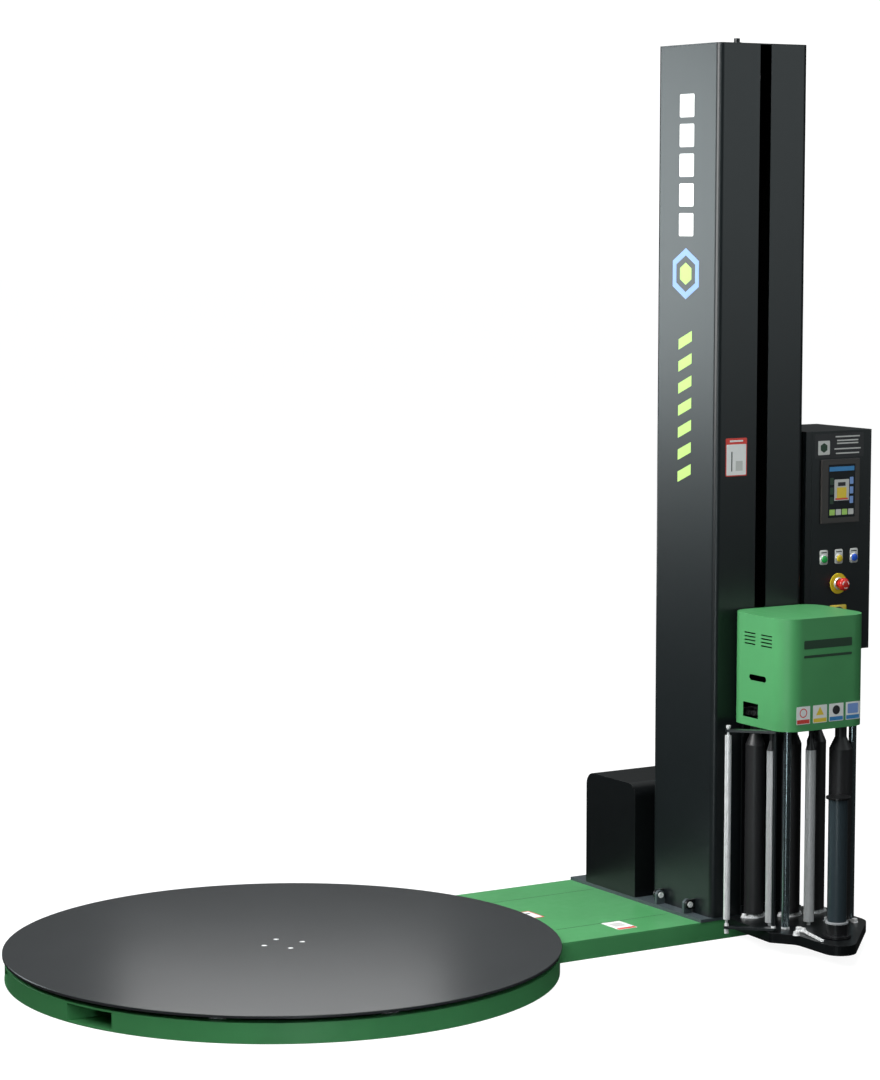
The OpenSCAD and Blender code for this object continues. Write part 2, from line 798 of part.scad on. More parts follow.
module carriage_nuts() color(zinc) {
    washer = 1.5;
    for (p = pos_posts) {
        translate([p[0], p[1], top_z + top_t]) difference() {
            union() {
                cylinder(r = 12, h = washer);
                cylinder(r = 11, h = 9, $fn = 6);
            }
            translate([0, 0, -1]) cylinder(r = 6, h = 20);
        }
    }
    for (p = [pos_a, pos_c, pos_e], s = [-1, 1])
        hex(p + [s * 30, s * -6], base_top, 12, 7);
    for (s = [-1, 1]) hex(pos_f + [s * 22, s * 21], base_top, 12, 7);
    for (p = [[1430, -632], [1386, -676], [1583, -574], [1645, -632]])
        hex(p, base_top, 17, 10);
}

module stretch_gearmotor() color([0.25, 0.28, 0.32]) {
    x = pos_c[0];
    y = pos_c[1];
    z0 = top_z + top_t + 32;
    difference() {
        union() {
            round_box(x - 52, x + 52, y - 62, y + 48, z0, z0 + 70, 10);
            bar_z([x, y - 8], z0 + 70, z0 + 84, 50);
            bar_z([x, y - 8], z0 + 84, z0 + 230, 44);
            for (z = [z0 + 96 : 12 : z0 + 216]) bar_z([x, y - 8], z, z + 3, 48);
            box([x - 90, y - 100, z0], [x + 83, y + 73, z0 + 8]);
            for (p = [[0, -92], [75, -50], [62, 66], [-82, -44]])
                bar_z(pos_c + p, top_z + top_t, z0, 7);
        }
        bar_z(pos_c, z0 - 1, z0 + 50, spindle_r + fit);
    }
}

// A roller with a coned upper end and a spindle through both plates.
module cone_roller(pos, d, spindle, low, spindle_top, cone_h, neck_r) {
    bar_z(pos, low, roller_top, d / 2);
    translate([pos[0], pos[1], roller_top]) cylinder(r1 = d / 2, r2 = neck_r, h = cone_h);
    bar_z(pos, roller_top + cone_h, top_z - 3, neck_r);
    bar_z(pos, base_top - 14, low, spindle);
    bar_z(pos, top_z - 3, spindle_top, spindle);
}
module first_stretch_roller() color(dark) {
    cone_roller(pos_a, rubber_d, spindle_r, base_top + 14, gear_z + gear_t + 6, 34, 16);
    spur_gear(pos_a, gear_a_teeth, pair_turn, spindle_r);
}
module second_stretch_roller() color(dark) {
    cone_roller(pos_c, rubber_d, spindle_r, base_top + 14, top_z + top_t + 70, 34, 16);
    spur_gear(pos_c, gear_c_teeth, pair_turn + 180 + 180 / gear_c_teeth, spindle_r);
}
module back_idler_roller() color(dark) {
    cone_roller(pos_e, rubber_d, spindle_r, base_top + 14, top_z + top_t + 6, 34, 16);
}
module nip_roller() color(dark) {
    cone_roller(pos_f, nip_d, spindle_r, base_top + 14, top_z + top_t + 6, 36, 18);
}
module left_idler_roller() color(steel) {
    cone_roller(pos_b, steel_d, small_spindle_r, base_top + 10, top_z + top_t + 6, 30, 7);
}
module front_idler_roller() color(steel) {
    cone_roller(pos_d, steel_d + 2, small_spindle_r, base_top + 10, top_z + top_t + 6, 36, 7);
}

module film_mandrel() color(anthracite) {
    r = mandrel_d / 2;
    bar_z(pos_m, base_top - 18, base_top + 2, 15);
    bar_z(pos_m, base_top + 2, base_top + 9, 43);
    bar_z(pos_m, base_top + 9, base_top + 44, 32);
    bar_z(pos_m, base_top + 44, base_top + 49, 35);
    bar_z(pos_m, base_top + 49, mandrel_top - 6, r);
    bar_z(pos_m, mandrel_top - 6, mandrel_top, 37.5);
}

// One dancer arm, as a flat link between its two eyes.
module arm(z0) {
    turn = atan2(pos_q[1] - pos_p[1], pos_q[0] - pos_p[0]);
    difference() {
        translate([0, 0, z0]) linear_extrude(arm_t) polygon(concat(
            arc(pos_p, 12, turn + 90, turn + 270, 16),
            arc(pos_q, 9, turn - 90, turn + 90, 16)));
        bar_z(pos_q, z0 - 1, z0 + arm_t + 1, 4 + fit);
    }
}
module dancer_arm() color(anthracite) {
    arm(base_top + arm_gap);
    arm(top_z - arm_gap - arm_t - 4);
    bar_z(pos_p, base_top - 14, top_z + top_t + 4, small_spindle_r);
}
module dancer_roller() color(steel) {
    low = base_top + 30;
    high = top_z - 25;
    bar_z(pos_q, low, high, 10);
    bar_z(pos_q, base_top - 2, low, 4);
    bar_z(pos_q, high, top_z, 4);
    bar_z(pos_q, base_top - 5, base_top - 2 + 3, 7);
    bar_z(pos_q, top_z - 2.5, top_z + 5, 7);
}

module brake_lever() color(zinc) {
    reach = 135;
    translate([lever_pos[0], lever_pos[1], base_top + 2]) rotate(-103) {
        translate([0, -5, 0]) cube([reach, 10, 5]);
        cylinder(r = 11, h = 5);
        translate([reach, 0, 0]) cylinder(r = 5, h = 5);
    }
    bar_z(lever_pos, base_top - 3, base_top + 2, lever_pin_r - fit);
    hex(lever_pos, base_top + 7, 13, 6);
}

ring_frame();
deck_frame();
deck_plate_left();
deck_plate_centre();
deck_plate_right();
fork_channel_left();
fork_channel_right();
centre_post();
wheel_brackets();
wheel_axles();
drive_gearmotor();
drive_chain();
drive_cover();
mast_base_plate();
fold_lugs();
fold_pins();
turntable_disc();
turntable_hub();
turntable_screws();
drive_sprocket();
support_wheel(0);  // support_wheel_1
support_wheel(1);  // support_wheel_2
support_wheel(2);  // support_wheel_3
support_wheel(3);  // support_wheel_4
support_wheel(4);  // support_wheel_5
support_wheel(5);  // support_wheel_6
mast_shell();
mast_cap();
mast_fold_lugs();
guide_rails();
lift_gearmotor();
lift_belt();
lift_drive_pulley();
lift_top_pulley();
control_cabinet();
cabinet_door();
touch_panel();
button_collars();
start_button();
reset_button();
home_button();
emergency_stop();
main_switch();
carriage_bracket();
carriage_base();
carriage_top_plate();
carriage_cover();
carriage_posts();
carriage_nuts();
stretch_gearmotor();
first_stretch_roller();
second_stretch_roller();
back_idler_roller();
nip_roller();
left_idler_roller();
front_idler_roller();
film_mandrel();
dancer_arm();
dancer_roller();
brake_lever();
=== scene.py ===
import json
import math

import bpy
from mathutils import Matrix, Vector


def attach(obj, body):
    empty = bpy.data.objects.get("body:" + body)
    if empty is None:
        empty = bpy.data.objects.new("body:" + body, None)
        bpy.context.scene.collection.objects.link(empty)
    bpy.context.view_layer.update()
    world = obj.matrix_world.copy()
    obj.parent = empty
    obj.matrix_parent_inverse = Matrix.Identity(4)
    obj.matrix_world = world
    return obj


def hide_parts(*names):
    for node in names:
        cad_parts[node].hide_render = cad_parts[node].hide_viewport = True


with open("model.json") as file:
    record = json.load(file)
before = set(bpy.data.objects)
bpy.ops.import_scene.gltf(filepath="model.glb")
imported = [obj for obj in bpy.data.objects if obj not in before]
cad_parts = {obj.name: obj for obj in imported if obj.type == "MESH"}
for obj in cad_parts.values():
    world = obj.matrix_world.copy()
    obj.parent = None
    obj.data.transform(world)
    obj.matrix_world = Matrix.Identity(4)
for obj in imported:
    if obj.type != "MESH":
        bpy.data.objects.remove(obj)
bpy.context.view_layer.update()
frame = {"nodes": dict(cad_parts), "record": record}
NODES = frame["nodes"]
MM = 0.001
for plain in list(bpy.data.materials):
    bpy.data.materials.remove(plain)

# Sides of the machine: to the right, up, and out, as seen when facing each side.
FACES = {
    "left": ((0, -1, 0), (0, 0, 1), (-1, 0, 0)),
    "front": ((1, 0, 0), (0, 0, 1), (0, -1, 0)),
    "back": ((-1, 0, 0), (0, 0, 1), (0, 1, 0)),
    "top": ((1, 0, 0), (0, 1, 0), (0, 0, 1)),
}

# Places on the machine, in millimetres.
DECK_TOP = 60
MAST_LEFT = 1301
MAST_FRONT = -364
MAST_BACK = -45
DOOR = -359
CABINET_FLOOR = 866
COVER_FRONT = -660
BASE_TOP = 70
TOP_PLATE = 698
BUTTONS = (("start", 1723), ("reset", 1782.5), ("home", 1842))
BUTTON_Z = 1157
STOP = (1782, 1078)
SWITCH = (1782, 978)
POSTS = ((1412, -588), (1651, -602))
PLATE_BOLTS = ((1430, -632), (1386, -676), (1583, -574), (1645, -632))
DANCER_PIVOT = (1358, -598)
DANCER_END = (1256, -500)
# Each bearing's name, its place, and the turn of its long way.
BEARINGS = (("first", 1425, -412, -11), ("second", 1531.8, -456, -11),
            ("back", 1626, -458, -11), ("nip", 1601, -607.5, 44))

# A stuck piece starts just inside its sheet. A film's face stands this far off it, and
# each layer of film has its low and high face.
SUNK = -0.1
DECAL = 0.35
LAYERS = ((SUNK, DECAL), (DECAL - 0.1, DECAL + 0.1), (DECAL, DECAL + 0.2))


# ---- finishes ----

class Finish:
    """A material with its nodes, built up step by step."""

    def __init__(self, name):
        self.material = bpy.data.materials.new(name)
        self.material.use_nodes = True
        self.tree = self.material.node_tree
        self.shader = self.tree.nodes["Principled BSDF"]
        self.place = self.add("ShaderNodeTexCoord").outputs["Object"]

    def add(self, kind, **values):
        node = self.tree.nodes.new(kind)
        for key, value in values.items():
            if key in node.inputs:
                node.inputs[key].default_value = value
            else:
                setattr(node, key, value)
        return node

    def join(self, output, target):
        self.tree.links.new(output, target)

    def noise(self, scale, detail=3.0, stretch=(1, 1, 1)):
        """A noise pattern, finer along an axis with a larger stretch."""
        spread = self.add("ShaderNodeMapping")
        spread.inputs["Scale"].default_value = stretch
        self.join(self.place, spread.inputs["Vector"])
        pattern = self.add("ShaderNodeTexNoise", Scale=scale, Detail=detail)
        self.join(spread.outputs["Vector"], pattern.inputs["Vector"])
        return pattern.outputs["Fac"]

    def spread_over(self, factor, low, high, start=0.3, end=0.7):
        """The pattern mapped to a range of values."""
        node = self.add("ShaderNodeMapRange")
        node.inputs["From Min"].default_value = start
        node.inputs["From Max"].default_value = end
        node.inputs["To Min"].default_value = low
        node.inputs["To Max"].default_value = high
        self.join(factor, node.inputs["Value"])
        return node.outputs["Result"]

    def blend(self, factor, first, second):
        """Two colours mixed by the pattern."""
        node = self.add("ShaderNodeMix", data_type="RGBA")
        node.inputs["A"].default_value = (*first, 1)
        node.inputs["B"].default_value = (*second, 1)
        self.join(factor, node.inputs["Factor"])
        return [out for out in node.outputs if out.type == "RGBA"][0]


def shade(colour, amount):
    return tuple(min(1.0, part * amount) for part in colour)


def painted(name, colour, gloss, peel=0.05, level=0.5, edge=1.0):
    """Powder coat: fine orange peel, slight cloudiness, and rounded sheet edges."""
    made = Finish(name)
    made.shader.inputs["Specular IOR Level"].default_value = level
    cloud = made.noise(5, 4)
    made.join(made.blend(made.spread_over(cloud, 0, 1), shade(colour, 0.93), shade(colour, 1.07)),
              made.shader.inputs["Base Color"])
    made.join(made.spread_over(made.noise(40, 5), gloss - 0.4 * peel, gloss + 0.5 * peel),
              made.shader.inputs["Roughness"])
    skin = made.add("ShaderNodeBump", Strength=peel, Distance=0.0004)
    made.join(made.noise(650, 2), skin.inputs["Height"])
    if edge:
        rounded = made.add("ShaderNodeBevel", samples=4)
        rounded.inputs["Radius"].default_value = edge * MM
        made.join(rounded.outputs["Normal"], skin.inputs["Normal"])
    made.join(skin.outputs["Normal"], made.shader.inputs["Normal"])
    return made


def bare_metal(name, colour, gloss, stretch=(1, 1, 1), scale=220, shine=1.0):
    """Turned, drawn or plated metal with fine tool marks along one way."""
    made = Finish(name)
    made.shader.inputs["Metallic"].default_value = shine
    marks = made.noise(scale, 4, stretch)
    made.join(made.blend(made.spread_over(marks, 0, 1), shade(colour, 0.86), shade(colour, 1.1)),
              made.shader.inputs["Base Color"])
    made.join(made.spread_over(marks, gloss - 0.06, gloss + 0.08), made.shader.inputs["Roughness"])
    skin = made.add("ShaderNodeBump", Strength=0.08, Distance=0.0003)
    made.join(marks, skin.inputs["Height"])
    made.join(skin.outputs["Normal"], made.shader.inputs["Normal"])
    return made


def moulded(name, colour, gloss, grain=0.06, level=0.5):
    """Moulded plastic or rubber with a fine grain."""
    made = Finish(name)
    made.shader.inputs["Specular IOR Level"].default_value = level
    fine = made.noise(900, 3)
    made.join(made.blend(made.noise(14, 3), shade(colour, 0.9), shade(colour, 1.1)),
              made.shader.inputs["Base Color"])
    made.join(made.spread_over(fine, gloss - 0.04, gloss + 0.05), made.shader.inputs["Roughness"])
    skin = made.add("ShaderNodeBump", Strength=grain, Distance=0.0003)
    made.join(fine, skin.inputs["Height"])
    made.join(skin.outputs["Normal"], made.shader.inputs["Normal"])
    return made


def printed(name, colour, gloss=0.4):
    """Printed film or enamel of one colour, with a faint unevenness."""
    made = Finish(name)
    made.join(made.blend(made.noise(60, 3), shade(colour, 0.95), shade(colour, 1.03)),
              made.shader.inputs["Base Color"])
    made.shader.inputs["Roughness"].default_value = gloss
    skin = made.add("ShaderNodeBump", Strength=0.03, Distance=0.0002)
    made.join(made.noise(300, 2), skin.inputs["Height"])
    made.join(skin.outputs["Normal"], made.shader.inputs["Normal"])
    return made


def banded(made, bands, rough=None):
    """Other colours on a turned part, between heights in millimetres above the floor."""
    split = made.add("ShaderNodeSeparateXYZ")
    made.join(made.place, split.inputs["Vector"])
    under = made.shader.inputs["Base Color"].links[0].from_socket
    for low, high, colour in bands:
        above = made.add("ShaderNodeMath", operation="GREATER_THAN")
        made.join(split.outputs["Z"], above.inputs[0])
        above.inputs[1].default_value = low * MM
        below = made.add("ShaderNodeMath", operation="LESS_THAN")
        made.join(split.outputs["Z"], below.inputs[0])
        below.inputs[1].default_value = high * MM
        both = made.add("ShaderNodeMath", operation="MULTIPLY")
        made.join(above.outputs[0], both.inputs[0])
        made.join(below.outputs[0], both.inputs[1])
        cover = made.add("ShaderNodeMix", data_type="RGBA")
        made.join(both.outputs[0], cover.inputs["Factor"])
        made.join(under, [s for s in cover.inputs if s.type == "RGBA"][0])
        [s for s in cover.inputs if s.type == "RGBA"][1].default_value = (*colour, 1)
        under = [s for s in cover.outputs if s.type == "RGBA"][0]
    made.join(under, made.shader.inputs["Base Color"])
    return made


GREEN = (0.070, 0.300, 0.105)
ANTHRACITE = (0.0058, 0.0082, 0.0092)
BLACK = (0.0042, 0.0050, 0.0056)
STEEL = (0.55, 0.56, 0.57)

green_paint = painted("green_paint", GREEN, 0.4, level=0.5).material
mast_paint = painted("mast_paint", ANTHRACITE, 0.32, peel=0.012, level=0.5).material
table_paint = painted("table_paint", (0.030, 0.032, 0.034), 0.26, peel=0.003, level=0.5).material
plate_paint = painted("plate_paint", (0.05, 0.066, 0.072), 0.45).material
black_paint = painted("black_paint", BLACK, 0.3, level=0.3).material
motor_paint = painted("motor_paint", (0.04, 0.055, 0.08), 0.4, edge=0).material
machine_steel = bare_metal("machine_steel", STEEL, 0.3, shine=0.6).material
zinc_plate = bare_metal("zinc_plate", (0.88, 0.88, 0.88), 0.25, scale=120, shine=0.15).material
chain_steel = bare_metal("chain_steel", (0.16, 0.15, 0.14), 0.4).material
roller_steel = banded(bare_metal("roller_steel", (0.55, 0.55, 0.555), 0.36, (6, 6, 0.4), shine=0.3),
                      [(610, 688, (0.012, 0.012, 0.013))]).material
post_steel = bare_metal("post_steel", (0.26, 0.32, 0.34), 0.2, (6, 6, 0.4), shine=0.95).material
dancer_steel = bare_metal("dancer_steel", (0.85, 0.85, 0.855), 0.3, (1, 1, 0.05), 500, 0.35).material
roller_rubber = banded(moulded("roller_rubber", (0.014, 0.014, 0.015), 0.42),
                       [(40, 84, STEEL), (690, 760, (0.10, 0.10, 0.10))]).material
mandrel_paint = banded(painted("mandrel_paint", (0.026, 0.038, 0.045), 0.3, edge=0.6),
                       [(60, 114, (0.008, 0.008, 0.009)), (114, 119.5, (0.35, 0.36, 0.37)),
                        (491.7, 499, (0.004, 0.004, 0.0045))]).material
nylon = moulded("nylon", (0.78, 0.78, 0.75), 0.35).material
belt_rubber = moulded("belt_rubber", (0.012, 0.012, 0.012), 0.6).material
panel_plastic = moulded("panel_plastic", (0.045, 0.040, 0.038), 0.4).material
collar_metal = bare_metal("collar_metal", (0.75, 0.75, 0.76), 0.18, scale=150, shine=0.4).material
green_plastic = moulded("green_plastic", (0.03, 0.42, 0.09), 0.2, 0.02).material
yellow_plastic = moulded("yellow_plastic", (0.75, 0.56, 0.03), 0.2, 0.02).material
blue_plastic = moulded("blue_plastic", (0.02, 0.10, 0.62), 0.2, 0.02).material
red_plastic = moulded("red_plastic", (0.62, 0.025, 0.02), 0.2, 0.02).material
white_film = printed("white_film", (0.86, 0.86, 0.85)).material
pale_film = printed("pale_film", (0.60, 0.60, 0.58)).material
red_film = printed("red_film", (0.72, 0.06, 0.045)).material
yellow_film = printed("yellow_film", (0.85, 0.62, 0.06)).material
blue_film = printed("blue_film", (0.05, 0.25, 0.55)).material
sky_film = printed("sky_film", (0.22, 0.36, 0.72)).material
lime_film = printed("lime_film", (0.42, 0.68, 0.16)).material
ink_film = printed("ink_film", (0.02, 0.02, 0.022)).material
dark_green_film = printed("dark_green_film", (0.018, 0.05, 0.026)).material
screen_glass = printed("screen_glass", (0.02, 0.023, 0.026), 0.12).material

for part in frame["record"]["subparts"]:
    node = NODES[part["node"]]
    node.data.materials.clear()
    node.data.materials.append(bpy.data.materials[part["material_slot"]])
NODES["dancer_roller"].data.materials[0] = dancer_steel
NODES["film_mandrel"].data.materials[0] = mandrel_paint
NODES["carriage_posts"].data.materials[0] = post_steel


# ---- making pieces ----

def alone(obj):
    bpy.ops.object.select_all(action="DESELECT")
    obj.select_set(True)
    bpy.context.view_layer.objects.active = obj


def settle(obj):
    """The piece's place and size go into its mesh."""
    alone(obj)
    bpy.ops.object.transform_apply(location=True, rotation=True, scale=True)
    return obj


def smooth(obj, angle=35):
    alone(obj)
    bpy.ops.object.shade_smooth_by_angle(angle=math.radians(angle))
    return obj


def dressed(obj, material):
    obj.data.materials.clear()
    obj.data.materials.append(material)
    return obj


def tile(u, v, w, h, low, high, material, corner=0.0, edge=0.0, steps=4):
    """A flat plate, w by h about (u, v), from low to high above its side, with rounded corners."""
    bpy.ops.object.select_all(action="DESELECT")
    bpy.ops.mesh.primitive_cube_add(size=1, location=(u * MM, v * MM, (low + high) / 2 * MM))
    obj = bpy.context.object
    obj.scale = (w * MM, h * MM, (high - low) * MM)
    settle(obj)
    bpy.ops.object.mode_set(mode="EDIT")
    bpy.ops.mesh.select_mode(type="EDGE")
    if corner:
        bpy.ops.mesh.select_all(action="DESELECT")
        bpy.ops.object.mode_set(mode="OBJECT")
        for line in obj.data.edges:
            a, b = (obj.data.vertices[i].co for i in line.vertices)
            line.select = abs(a.z - b.z) > 1e-6
        bpy.ops.object.mode_set(mode="EDIT")
        bpy.ops.mesh.bevel(offset=corner * MM, segments=steps, affect="EDGES")
    if edge:
        bpy.ops.mesh.select_all(action="DESELECT")
        bpy.ops.mesh.select_mode(type="FACE")
        bpy.ops.object.mode_set(mode="OBJECT")
        for side in obj.data.polygons:
            side.select = side.normal.z > 0.9
        bpy.ops.object.mode_set(mode="EDIT")
        bpy.ops.mesh.bevel(offset=edge * MM, segments=2, affect="EDGES")
    bpy.ops.object.mode_set(mode="OBJECT")
    smooth(obj)
    return dressed(obj, material)


def film(u, v, w, h, material, corner=0.0, layer=0):
    """A printed rectangle on one of the film layers."""
    return tile(u, v, w, h, *LAYERS[layer], material, corner)


def turned(profile, material, at=(0, 0), sides=48):
    """A turned part from (radius, height) pairs, first to last, about an axis at a point."""
    x, y = at
    bpy.ops.object.select_all(action="DESELECT")
    first = Vector((x + profile[0][0], y, profile[0][1])) * MM
    bpy.ops.mesh.primitive_plane_add(size=0.001, location=first)
    obj = bpy.context.object
    settle(obj)
    bpy.ops.object.mode_set(mode="EDIT")
    bpy.ops.mesh.select_mode(type="VERT")
    bpy.ops.mesh.select_all(action="SELECT")
    bpy.ops.mesh.merge(type="CENTER")
    for (r0, z0), (r1, z1) in zip(profile, profile[1:]):
        step = Vector((r1 - r0, 0, z1 - z0)) * MM
        bpy.ops.mesh.extrude_region_move(TRANSFORM_OT_translate={"value": step})
    bpy.ops.mesh.select_all(action="SELECT")
    bpy.ops.mesh.spin(steps=sides, angle=2 * math.pi, center=(x * MM, y * MM, 0), axis=(0, 0, 1))
    bpy.ops.mesh.select_all(action="SELECT")
    bpy.ops.mesh.remove_doubles(threshold=1e-6)
    bpy.ops.mesh.normals_make_consistent(inside=False)
    bpy.ops.object.mode_set(mode="OBJECT")
    smooth(obj, 40)
    return dressed(obj, material)


def cut_out(points, low, high, material):
    """A flat shape with this outline, from low to high above its side."""
    bpy.ops.object.select_all(action="DESELECT")
    first = Vector((*points[0], low)) * MM
    bpy.ops.mesh.primitive_plane_add(size=0.001, location=first)
    obj = bpy.context.object
    settle(obj)
    bpy.ops.object.mode_set(mode="EDIT")
    bpy.ops.mesh.select_mode(type="VERT")
    bpy.ops.mesh.select_all(action="SELECT")
    bpy.ops.mesh.merge(type="CENTER")
    for (u0, v0), (u1, v1) in zip(points, points[1:]):
        step = Vector((u1 - u0, v1 - v0, 0)) * MM
        bpy.ops.mesh.extrude_region_move(TRANSFORM_OT_translate={"value": step})
    bpy.ops.mesh.select_all(action="SELECT")
    bpy.ops.mesh.edge_face_add()
    bpy.ops.mesh.select_all(action="SELECT")
    bpy.ops.mesh.extrude_region_move(TRANSFORM_OT_translate={"value": (0, 0, (high - low) * MM)})
    bpy.ops.mesh.select_all(action="SELECT")
    bpy.ops.mesh.normals_make_consistent(inside=False)
    bpy.ops.object.mode_set(mode="OBJECT")
    return dressed(obj, material)


def ngon(u, v, r, count, start=90):
    """Corners of a regular shape round a point."""
    return [(u + r * math.cos(math.radians(start + 360 * i / count)),
             v + r * math.sin(math.radians(start + 360 * i / count))) for i in range(count)]


def arc_points(x, y, r, start, end, steps):
    """Points along an arc, in degrees."""
    return [(x + r * math.cos(math.radians(start + (end - start) * i / steps)),
             y + r * math.sin(math.radians(start + (end - start) * i / steps)))
            for i in range(steps + 1)]


def united(shapes):
    """The shapes joined into one object."""
    alone(shapes[0])
    for shape in shapes:
        shape.select_set(True)
    if len(shapes) > 1:
        bpy.ops.object.join()
    return bpy.context.object


def assembled(name, shapes, side, origin, body, stands_for=()):
    """Shapes drawn flat are joined into one piece and laid on a side of the machine."""
    obj = united(shapes)
    right, up, out = (Vector(way) for way in FACES[side])
    turn = Matrix((right, up, out)).transposed().to_4x4()
    obj.matrix_world = Matrix.Translation(Vector(origin) * MM) @ turn
    settle(obj)
    finished(obj, name, body, stands_for)


def finished(obj, name, body, stands_for=()):
    """The piece gets its name and its body, and the nodes that it stands for are hidden."""
    obj.name = name
    obj.data.name = name
    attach(obj, body)
    if stands_for:
        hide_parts(*stands_for)


def bolt(x, y, z, across, height, washer=0.0):
    """A hexagon head with its top corners turned off, on a washer."""
    shapes = []
    if washer:
        ring = [(0, z), (washer, z), (washer, z + 1.2), (washer - 0.4, z + 1.6), (0, z + 1.6)]
        shapes.append(turned(ring, zinc_plate, (x, y), 24))
        z = z + 1.6
    r = across / math.sqrt(3)
    head = cut_out(ngon(x, y, r, 6, 0), z, z + height - 1, zinc_plate)
    crown = turned([(0, z + height - 1), (across / 2 - 0.2, z + height - 1),
                    (across / 2 - 1, z + height), (across / 2 - 2.4, z + height),
                    (0, z + height - 0.4)], zinc_plate, (x, y), 24)
    return shapes + [head, crown]


def screw_head(u, v, z, r):
    """A pan head, domed, with a round driver recess."""
    return turned([(0, z), (r, z), (r, z + 0.35 * r), (0.75 * r, z + 0.6 * r), (0.4 * r, z + 0.65 * r),
                   (0.34 * r, z + 0.3 * r), (0, z + 0.3 * r)], zinc_plate, (u, v), 20)


# ---- turntable and deck ----

def deck_notices():
    """Two plain notices on the deck: a pale field with a coloured band."""
    shapes = [film(1029.5, -257, 69, 98, white_film, 3),
              film(1029.5, -296, 65, 16, red_film, 2, layer=1),
              film(1029.5, -248, 40, 40, pale_film, 2, layer=1)]
    assembled("deck_notice_front", shapes, "top", (0, 0, DECK_TOP), "base")
    shapes = [film(860, 4, 76, 92, red_film, 3),
              film(860, 4, 66, 82, white_film, 2, layer=1),
              film(860, 20, 48, 8, ink_film, 1, layer=2)]
    assembled("deck_notice_middle", shapes, "top", (0, 0, DECK_TOP), "base")


def deck_seams():
    """Sealed joints between the three deck plates."""
    shapes = [tile(1040, y, 410, 2.4, SUNK, 0.2, dark_green_film) for y in (-205, 205)]
    assembled("deck_seams", shapes, "top", (0, 0, DECK_TOP), "base")


# ---- mast ----

def mast_marks():
    """Plain coloured marks down the mast's left side."""
    centre = 200
    bars = [film(centre, z, 74, 70, white_film, 5) for z in (2194, 2284, 2374, 2464, 2554)]
    assembled("mast_blocks", bars, "left", (MAST_LEFT, 0, 0), "mast")
    outer = cut_out(ngon(centre, 2045, 78, 6), *LAYERS[0], sky_film)
    inner = cut_out(ngon(centre, 2045, 56, 6), DECAL - 0.1, DECAL + 0.15, mast_paint)
    core = cut_out(ngon(centre, 2045, 34, 6), DECAL, DECAL + 0.25, lime_film)
    assembled("mast_badge", [outer, inner, core], "left", (MAST_LEFT, 0, 0), "mast")
    slants = []
    for i in range(7):
        z = 1440 + 68 * i
        slants.append(cut_out([(centre - 34, z - 36), (centre + 34, z - 8), (centre + 34, z + 24),
                               (centre - 34, z - 4)], *LAYERS[0], lime_film))
    assembled("mast_slants", slants, "left", (MAST_LEFT, 0, 0), "mast")


def mast_notice():
    """A plain notice at eye height on the front of the mast."""
    shapes = [film(1377, 1491, 80, 116, red_film, 4),
              film(1377, 1483, 74, 94, white_film, 3, layer=1),
              film(1360, 1478, 4, 60, ink_film, 1, layer=2),
              film(1388, 1464, 26, 30, pale_film, 1, layer=2),
              film(1377, 1540, 50, 5, white_film, 1, layer=2)]
    assembled("mast_notice", shapes, "front", (0, MAST_FRONT, 0), "mast")


# ---- control cabinet ----


def cabinet_plate():
    """The dark plate over the screen, with a pale picture field and ruled lines."""
    shapes = [film(1780, 1510.5, 192, 75, ink_film, 3),
              film(1719, 1505, 46, 44, pale_film, 3, layer=1),
              cut_out(ngon(1719, 1505, 15, 6), *LAYERS[2], dark_green_film)]
    for v, w in ((1538, 96), (1526, 84), (1517, 84), (1500, 104), (1486, 92)):
        shapes.append(film(1812, v, w, 4, pale_film, layer=1))
    assembled("cabinet_plate", shapes, "front", (0, DOOR, 0), "cabinet_door")


def touch_screen():
    """Glass in the panel's opening, with a plain picture of tiles, bars and a load."""
    glass = 7.5
    shapes = [tile(1785, 1369, 106, 166, 6.9, glass, screen_glass, 2),
              tile(1785, 1438, 98, 14, glass - 0.1, glass + 0.15, blue_film, 1),
              tile(1785, 1372, 58, 66, glass - 0.1, glass + 0.1, pale_film, 2),
              tile(1785, 1362, 38, 36, glass, glass + 0.2, yellow_film, 1),
              tile(1785, 1344, 50, 5, glass, glass + 0.22, red_film),
              tile(1785, 1390, 30, 12, glass, glass + 0.2, ink_film, 1)]
    for i in range(3):
        shapes.append(tile(1746, 1340 + 30 * i, 14, 22, glass - 0.1, glass + 0.1, dark_green_film, 2))
        shapes.append(tile(1824, 1340 + 30 * i, 14, 22, glass - 0.1, glass + 0.1, sky_film, 2))
    for i in range(4):
        shapes.append(tile(1748.5 + 24.5 * i, 1303, 21, 18, glass - 0.1, glass + 0.1,
                           (lime_film, pale_film)[i % 2], 2))
    assembled("screen", shapes, "front", (0, DOOR, 0), "cabinet_door")


